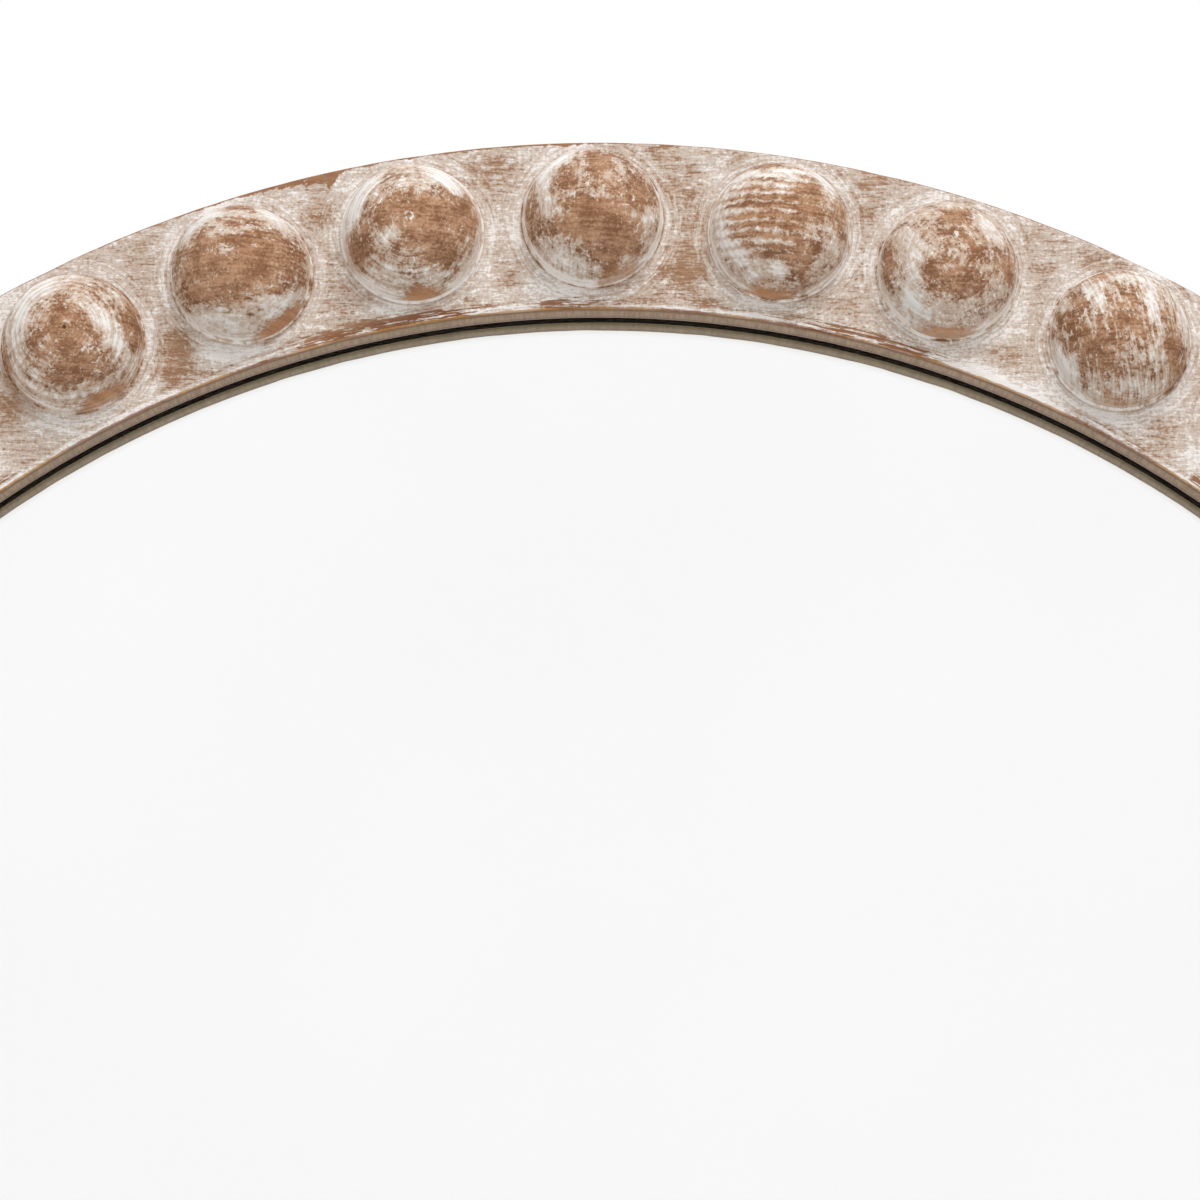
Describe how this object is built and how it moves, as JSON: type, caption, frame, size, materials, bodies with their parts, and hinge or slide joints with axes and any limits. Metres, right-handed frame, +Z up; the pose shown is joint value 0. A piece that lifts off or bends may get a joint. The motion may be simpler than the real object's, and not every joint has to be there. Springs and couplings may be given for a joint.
{
  "type": "bobbin mirror",
  "caption": "Round wall mirror in a flat whitewashed wooden ring set with turned half-ball bobbins; turn buttons hold its board, and hanger rings swing at the back.",
  "frame": {"origin": "centre of the mirror's rear face, on its axis and in the plane of the wall", "axes": "+Y into the wall, along the mirror's axis, so the glass faces -Y; +Z up as it hangs; +X to the right seen from the front"},
  "size_m": [0.9139, 0.0585, 0.914],
  "materials": {
    "whitewashed_ring": "whitewash brushed on and rubbed back, matt",
    "turned_bobbin": "turned, whitewashed and rubbed back to brown on the crown, matt",
    "back_wood": "sawn panel, brown stain, matt",
    "mirror": "float glass silvered on its back",
    "board": "hardboard, matt",
    "dowel_wood": "plain beech dowel",
    "zinc_strap": "pressed steel, bright zinc plated",
    "bright_zinc": "zinc plated",
    "yellow_zinc": "yellow zinc plated",
    "nickel_wire": "nickel plated wire"
  },
  "bodies": {
    "frame": {"front_ring": "whitewashed_ring", "pocket_ring": "back_wood", "stand_off_ring": "back_wood", "mirror_glass": "mirror", "backing_board": "board", "bobbin_01": "turned_bobbin", "bobbin_02": "turned_bobbin", "bobbin_03": "turned_bobbin", "bobbin_04": "turned_bobbin", "bobbin_05": "turned_bobbin", "bobbin_06": "turned_bobbin", "bobbin_07": "turned_bobbin", "bobbin_08": "turned_bobbin", "bobbin_09": "turned_bobbin", "bobbin_10": "turned_bobbin", "bobbin_11": "turned_bobbin", "bobbin_12": "turned_bobbin", "bobbin_13": "turned_bobbin", "bobbin_14": "turned_bobbin", "bobbin_15": "turned_bobbin", "bobbin_16": "turned_bobbin", "bobbin_17": "turned_bobbin", "bobbin_18": "turned_bobbin", "bobbin_19": "turned_bobbin", "bobbin_20": "turned_bobbin", "bobbin_21": "turned_bobbin", "bobbin_22": "turned_bobbin", "bobbin_23": "turned_bobbin", "bobbin_24": "turned_bobbin", "bobbin_25": "turned_bobbin", "bobbin_26": "turned_bobbin", "bobbin_27": "turned_bobbin", "bobbin_28": "turned_bobbin", "bobbin_29": "turned_bobbin", "bobbin_30": "turned_bobbin", "bobbin_31": "turned_bobbin", "bobbin_32": "turned_bobbin", "bobbin_33": "turned_bobbin", "bobbin_34": "turned_bobbin", "bobbin_35": "turned_bobbin", "bobbin_36": "turned_bobbin", "bobbin_37": "turned_bobbin", "bobbin_38": "turned_bobbin", "bobbin_39": "turned_bobbin", "bobbin_dowels": "dowel_wood", "ring_screws": "yellow_zinc", "turn_button_screws": "bright_zinc", "hanger_strap_left": "zinc_strap", "hanger_strap_right": "zinc_strap", "hanger_screws": "bright_zinc"},
    "button_1": {"turn_button_1": "zinc_strap"},
    "button_2": {"turn_button_2": "zinc_strap"},
    "button_3": {"turn_button_3": "zinc_strap"},
    "button_4": {"turn_button_4": "zinc_strap"},
    "button_5": {"turn_button_5": "zinc_strap"},
    "button_6": {"turn_button_6": "zinc_strap"},
    "ring_left": {"hanger_ring_left": "nickel_wire"},
    "ring_right": {"hanger_ring_right": "nickel_wire"}
  },
  "joints": [
    {"name": "turn_button_1_turn", "type": "hinge", "parent": "frame", "child": "button_1", "pos_m": [0.20888, -0.008, 0.36178], "axis": [0, 1, 0], "range_deg": [-120, 120]},
    {"name": "turn_button_2_turn", "type": "hinge", "parent": "frame", "child": "button_2", "pos_m": [0.41775, -0.008, 0], "axis": [0, 1, 0], "range_deg": [-120, 120]},
    {"name": "turn_button_3_turn", "type": "hinge", "parent": "frame", "child": "button_3", "pos_m": [0.20888, -0.008, -0.36178], "axis": [0, 1, 0], "range_deg": [-120, 120]},
    {"name": "turn_button_4_turn", "type": "hinge", "parent": "frame", "child": "button_4", "pos_m": [-0.20888, -0.008, -0.36178], "axis": [0, 1, 0], "range_deg": [-120, 120]},
    {"name": "turn_button_5_turn", "type": "hinge", "parent": "frame", "child": "button_5", "pos_m": [-0.41775, -0.008, 0], "axis": [0, 1, 0], "range_deg": [-120, 120]},
    {"name": "turn_button_6_turn", "type": "hinge", "parent": "frame", "child": "button_6", "pos_m": [-0.20888, -0.008, 0.36178], "axis": [0, 1, 0], "range_deg": [-120, 120]},
    {"name": "hanger_ring_left_swing", "type": "hinge", "parent": "frame", "child": "ring_left", "pos_m": [-0.35078, -0.0059, 0.22793], "axis": [0.866, 0, -0.5], "range_deg": [0, 180]},
    {"name": "hanger_ring_right_swing", "type": "hinge", "parent": "frame", "child": "ring_right", "pos_m": [0.35078, -0.0059, 0.22793], "axis": [0.866, 0, 0.5], "range_deg": [0, 180]}
  ]
}
